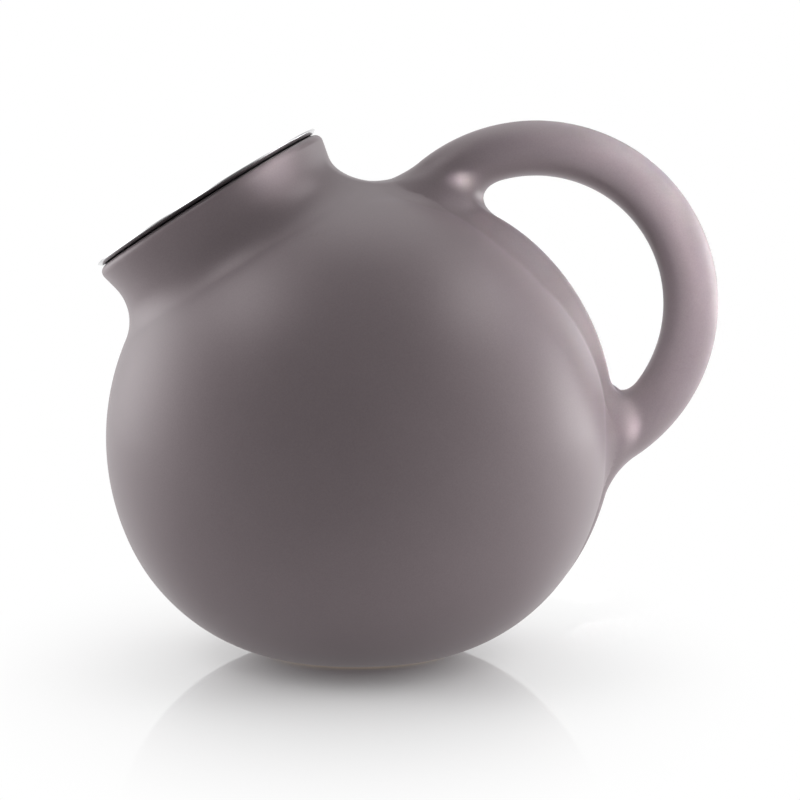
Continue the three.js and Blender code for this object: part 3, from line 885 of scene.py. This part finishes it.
def silicone(grain):
    """Matt black silicone with a fine speckle."""
    material, node, shader = new_material("matt_silicone", IOR=1.42)
    place = node("ShaderNodeTexCoord").outputs["Object"]
    fine = node("ShaderNodeGroup", {"Vector": place, **SILICONE_GRAIN}, node_tree=grain).outputs
    colour = toned(node, SILICONE_COLOUR, fine["Tone"])
    rough = maths(node, "MULTIPLY", fine["Tone"], SILICONE_ROUGHNESS)
    return covered(material, node, shader, colour, rough, fine["Height"], SILICONE_BUMP)


grain = grain_group()
marks = turning_group()
satin_glaze = glaze(grain)
polished_steel = steel("polished_steel", marks, POLISHED_COLOUR, POLISHED_ROUGHNESS, POLISHED_MARK)
hinge_steel = steel("hinge_steel", marks, HINGE_COLOUR, HINGE_ROUGHNESS, HINGE_MARK)
black_silicone = silicone(grain)

globe_skin, globe_normals = thrown_globe()
handle_skin, handle_normals = pulled_handle()
piece("stoneware_globe", globe_skin, satin_glaze, "jug", "glazed_stoneware", "jug_body",
      normals=globe_normals)
piece("stoneware_handle", handle_skin, satin_glaze, "jug", "glazed_stoneware", "handle",
      normals=handle_normals)
piece("steel_pouring_rim", pressed_rim(), polished_steel, "pour_insert", "polished_steel", "pouring_rim",
      ring=True)
piece("silicone_sleeve", moulded_sleeve(), black_silicone, "pour_insert", "black_silicone", "seal_sleeve",
      ring=True)
piece("silicone_flap_seat", channel_seat(), black_silicone, "pour_insert", "black_silicone", "flap_seat",
      ring=True)
piece("steel_flap", stamped_flap(), polished_steel, "flap", "polished_steel", "pour_flap")
piece("steel_strap", curled_strap(), hinge_steel, "flap", "hinge_steel", "flap_strap")
piece("steel_stop_finger", stop_finger(), hinge_steel, "flap", "hinge_steel", "flap_strap")
piece("steel_hinge_bracket", folded_bracket(), hinge_steel, "pour_insert", "hinge_steel", "hinge_bracket")
piece("steel_hinge_pin", riveted_pin(), hinge_steel, "pour_insert", "hinge_steel", "hinge_pin")


# Floor, light and camera

FLOOR_HALF = 4.0
FLOOR_SEEN = (0.92, 0.92, 0.92, 1)
FLOOR_BOUNCE = (0.80, 0.80, 0.80, 1)
# Where the floor's shade fades to white, measured with its depth drawn in
FLOOR_FADE = (0.005, 0.115)
FLOOR_SHADE = (1, 0.55, 1)
# The floor's glow towards +X and -X and close to the jug, and where each changes
FLOOR_GLOWS = ((1, 2.4), (-1, 1.3))
FLOOR_GLOW_REACH = (0.05, 0.16)
NEAR_GLOW = 0.3
NEAR_GLOW_REACH = (0.03, 0.13)
AMBIENT = 0.14
# The dim room behind the camera, and where floor and backdrop go over from it to white
CAMERA_SIDE = 0.15
CAMERA_SIDE_EDGE = (-0.5, 0.3)
BACKDROP_EDGE = (0.5, 0.9)
STUDIO_MIDDLE = np.array([0.015, 0, 0.07])
HANDLE_MIDDLE = np.array([0.075, 0, 0.105])
NECK_SHOULDER = np.array([-0.0225, -0.029, 0.1385])
UPPER_ROOT = np.array([0.0280, -0.009, 0.1323])
LOWER_ROOT = np.array([0.0756, -0.007, 0.0642])
WIDE_DISTANCE = 0.8
HANDLE_DISTANCE = 0.7
NEAR_DISTANCE = 0.05
FULL_SPREAD = 180
LAMP_MIDDLE = 0.5
CAMERA_PLACE = (0.011947, -0.697627, 0.131514)
CAMERA_PITCH = np.radians(85.06)
CAMERA_LENS = 112.5
CAMERA_SENSOR = 36

# Turn, rise, size and radiance of the softboxes that light the whole jug
WIDE_SOFTBOXES = {
    "right_softbox": (114, 6, (1.0, 0.9), 4.6),
    "right_back_softbox": (134, 2, (0.5, 0.8), 2.2),
    "front_softbox": (72, 20, (0.6, 0.7), 1.4),
    "left_softbox": (-110, 12, (1.2, 0.9), 3.5),
    "left_high_softbox": (-82, 50, (0.9, 0.6), 4.7),
    "right_high_softbox": (88, 48, (0.9, 0.6), 4.8),
    "top_softbox": (180, 70, (1.2, 0.9), 1.8),
}
# The same for those that light one place only, with that place, the distance from it and the spread
NARROW_SOFTBOXES = {
    "handle_softbox": (44, 24, (0.06, 0.1), 3.2, HANDLE_MIDDLE, HANDLE_DISTANCE, 8),
    "handle_fill": (4, 42, (0.06, 0.1), 3.6, HANDLE_MIDDLE, HANDLE_DISTANCE, 8),
    "neck_softbox": (40, 10, (0.016, 0.012), 7.0, NECK_SHOULDER, NEAR_DISTANCE, 28),
    "upper_root_softbox": (40, 10, (0.010, 0.001), 17.0, UPPER_ROOT, NEAR_DISTANCE, 6),
    "lower_root_softbox": (40, 10, (0.001, 0.012), 20.0, LOWER_ROOT, NEAR_DISTANCE, 6),
}


def seen_plainly(node):
    """1 for rays from the camera and for those that metal or glaze mirrors, 0 for the rest."""
    path = node("ShaderNodeLightPath").outputs
    either = maths(node, "MAXIMUM", path["Is Camera Ray"], path["Is Glossy Ray"])
    return maths(node, "MAXIMUM", either, path["Is Transmission Ray"])


def pale_floor():
    """A pale floor that keeps the jug's shadow and a faint mirror image of it, and fades to plain white
    away from it. To both sides and close to the jug it glows, which the camera doesn't see."""
    h = FLOOR_HALF
    mesh = bpy.data.meshes.new("floor")
    mesh.from_pydata([(-h, -h, 0), (h, -h, 0), (h, h, 0), (-h, h, 0)], [], [(0, 1, 2, 3)])
    floor = bpy.data.objects.new("floor", mesh)
    bpy.context.scene.collection.objects.link(floor)
    material, node, shader = new_material(
        "pale_floor", Roughness=0.05, IOR=1.4, Emission_Color=(1, 1, 1, 1))
    mesh.materials.append(material)
    place = node("ShaderNodeTexCoord").outputs["Object"]
    parts = node("ShaderNodeSeparateXYZ", {0: place}).outputs
    away = node("ShaderNodeVectorMath", {0: place}, operation="LENGTH").outputs["Value"]
    direct = node("ShaderNodeLightPath").outputs["Is Camera Ray"]
    seen = seen_plainly(node)

    glow = 0.0
    aside = maths(node, "DIVIDE", parts["X"], away)
    for end, strength in FLOOR_GLOWS:
        glow = maths(node, "ADD", ramp(node, aside, 0.0, end, 0.0, strength, "SMOOTHSTEP"), glow)
    clear = ramp(node, away, *FLOOR_GLOW_REACH, kind="SMOOTHSTEP")
    close = ramp(node, away, *NEAR_GLOW_REACH, NEAR_GLOW, 0.0, "SMOOTHSTEP")
    glow = maths(node, "MULTIPLY_ADD", glow, clear, close)
    unseen = maths(node, "SUBTRACT", 1.0, direct)
    join_socket(material, maths(node, "MULTIPLY", glow, unseen), shader["Emission Strength"])
    colour = node("ShaderNodeMix", {"Factor": seen, COLOUR_A: FLOOR_BOUNCE, COLOUR_B: FLOOR_SEEN},
                  data_type="RGBA")
    join_socket(material, colour.outputs[2], shader["Base Color"])

    drawn_out = node("ShaderNodeVectorMath", {0: place, 1: FLOOR_SHADE}, operation="MULTIPLY").outputs[0]
    off = node("ShaderNodeVectorMath", {0: drawn_out}, operation="LENGTH").outputs["Value"]
    white = maths(node, "MULTIPLY", ramp(node, off, *FLOOR_FADE, kind="SMOOTHSTEP"), seen)
    aft = maths(node, "DIVIDE", parts["Y"], away)
    strength = maths(node, "MAXIMUM", ramp(node, aft, *CAMERA_SIDE_EDGE, CAMERA_SIDE), direct)
    plain = node("ShaderNodeEmission", {"Strength": strength}).outputs[0]
    nodes = material.node_tree.nodes
    mixed = node("ShaderNodeMixShader", {0: white, 1: nodes["Principled BSDF"].outputs[0], 2: plain})
    join_socket(material, mixed.outputs[0], nodes["Material Output"].inputs["Surface"])


def white_world():
    """White where it is seen plainly, with a dim camera side in the mirror, and a dim light from all
    sides."""
    world = bpy.data.worlds.new("studio")
    world.use_nodes = True
    bpy.context.scene.world = world
    node = node_maker(world.node_tree)
    background = world.node_tree.nodes["Background"].inputs
    background["Color"].default_value = (1, 1, 1, 1)
    place = node("ShaderNodeTexCoord").outputs["Generated"]
    behind = ramp(node, node("ShaderNodeSeparateXYZ", {0: place}).outputs["Y"], *BACKDROP_EDGE, CAMERA_SIDE)
    white = maths(node, "MAXIMUM", behind, node("ShaderNodeLightPath").outputs["Is Camera Ray"])
    light = {"Factor": seen_plainly(node), VALUE_A: AMBIENT, VALUE_B: white}
    strength = node("ShaderNodeMix", light).outputs[0]
    world.node_tree.links.new(strength, background["Strength"])


def softbox(name, turn, rise, size, radiance, target=STUDIO_MIDDLE, distance=WIDE_DISTANCE,
            spread=FULL_SPREAD, mirrored=True):
    """A softbox turned so far round its target from the camera's side, towards the handle, raised so
    far over it and facing it, all in degrees. Its light falls off smoothly from its middle to its
    edges."""
    light = bpy.data.lights.new(name, "AREA")
    light.shape = "RECTANGLE"
    light.size, light.size_y = size
    light.energy = radiance * np.pi * size[0] * size[1]
    light.spread = np.radians(spread)
    light.use_nodes = True
    node = node_maker(light.node_tree)
    place = node("ShaderNodeSeparateXYZ", {0: node("ShaderNodeNewGeometry").outputs["Parametric"]}).outputs
    glow = 1.0
    for side in (0, 1):
        inside = maths(node, "PINGPONG", place[side], LAMP_MIDDLE)
        glow = maths(node, "MULTIPLY", ramp(node, inside, 0.0, LAMP_MIDDLE, kind="SMOOTHSTEP"), glow)
    light.node_tree.links.new(glow, light.node_tree.nodes["Emission"].inputs["Strength"])
    lamp = bpy.data.objects.new(name, light)
    turn, rise = np.radians([turn, rise])
    lead = np.array([np.sin(turn) * np.cos(rise), -np.cos(turn) * np.cos(rise), np.sin(rise)])
    lamp.location = target + distance * lead
    lamp.rotation_mode = "QUATERNION"
    lamp.rotation_quaternion = Vector(-lead).to_track_quat("-Z", "Y")
    lamp.visible_camera = False
    lamp.visible_glossy = mirrored
    bpy.context.scene.collection.objects.link(lamp)


def studio_camera():
    """The camera in front of the jug, looking slightly down."""
    data = bpy.data.cameras.new("camera")
    data.lens = CAMERA_LENS
    data.sensor_width = CAMERA_SENSOR
    camera = bpy.data.objects.new("camera", data)
    camera.location = CAMERA_PLACE
    camera.rotation_euler = (CAMERA_PITCH, 0, 0)
    bpy.context.scene.collection.objects.link(camera)
    bpy.context.scene.camera = camera


pale_floor()
white_world()
for name, settings in WIDE_SOFTBOXES.items():
    softbox(name, *settings)
for name, settings in NARROW_SOFTBOXES.items():
    softbox(name, *settings, mirrored=False)
studio_camera()
bpy.context.scene.view_settings.view_transform = "Standard"
